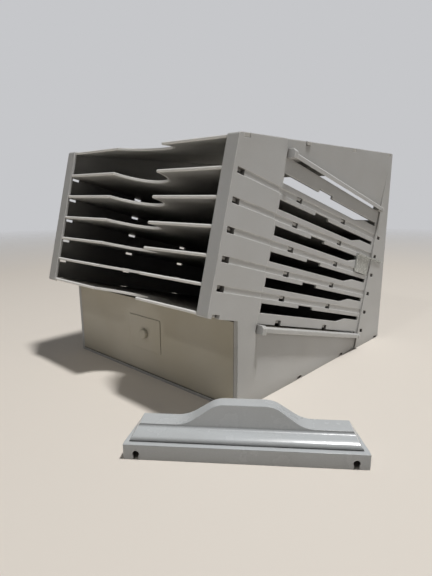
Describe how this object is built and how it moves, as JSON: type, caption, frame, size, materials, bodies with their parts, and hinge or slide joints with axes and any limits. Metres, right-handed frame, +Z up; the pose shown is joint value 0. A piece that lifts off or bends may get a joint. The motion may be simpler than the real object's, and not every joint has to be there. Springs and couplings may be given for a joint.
{
  "type": "desktop sorter rack",
  "caption": "Desktop sheet collator rack with sloping bins, finger notches, a slotted side panel, a base drawer and a loose front cap.",
  "frame": {"origin": "middle of the base's footprint, on the surface that the rack stands on", "axes": "+Z up; the bins and the drawer open to -Y; +X to the right seen from the front, where the slotted panel is"},
  "size_m": [0.3812, 0.413, 0.2391],
  "materials": {
    "rack_plastic": "fine moulded texture, warm light grey",
    "drawer_plastic": "fine moulded texture, warm light grey",
    "runner_plastic": "smooth, slightly lighter grey",
    "cap_plastic": "satin, bluish grey",
    "clear_plastic": "cloudy clear",
    "screw_steel": "plain"
  },
  "bodies": {
    "rack": {"right_side_panel": "rack_plastic", "left_side_panel": "rack_plastic", "top_cover": "rack_plastic", "shelf_1": "rack_plastic", "shelf_2": "rack_plastic", "shelf_3": "rack_plastic", "shelf_4": "rack_plastic", "shelf_5": "rack_plastic", "bottom_shelf": "rack_plastic", "base_floor": "rack_plastic", "upper_rail": "rack_plastic", "lower_rail": "rack_plastic", "drawer_runners": "runner_plastic"},
    "drawer": {"drawer_front": "drawer_plastic", "drawer_tray": "drawer_plastic", "drawer_stops": "runner_plastic", "knob_plate": "drawer_plastic", "drawer_knob": "drawer_plastic", "knob_screw": "screw_steel"},
    "clip": {"side_clip": "clear_plastic"},
    "cap": {"front_cap": "cap_plastic"}
  },
  "joints": [
    {"name": "drawer_slide", "type": "slide", "parent": "rack", "child": "drawer", "axis": [0, -1, 0], "range_m": [0, 0.06]},
    {"name": "clip_slide", "type": "slide", "parent": "rack", "child": "clip", "axis": [0, -0.9659, 0.2588], "range_m": [0, 0.112]},
    {"name": "cap_lift", "type": "slide", "parent": "rack", "child": "cap", "axis": [0, 0, 1], "range_m": [0, 0.15]}
  ]
}
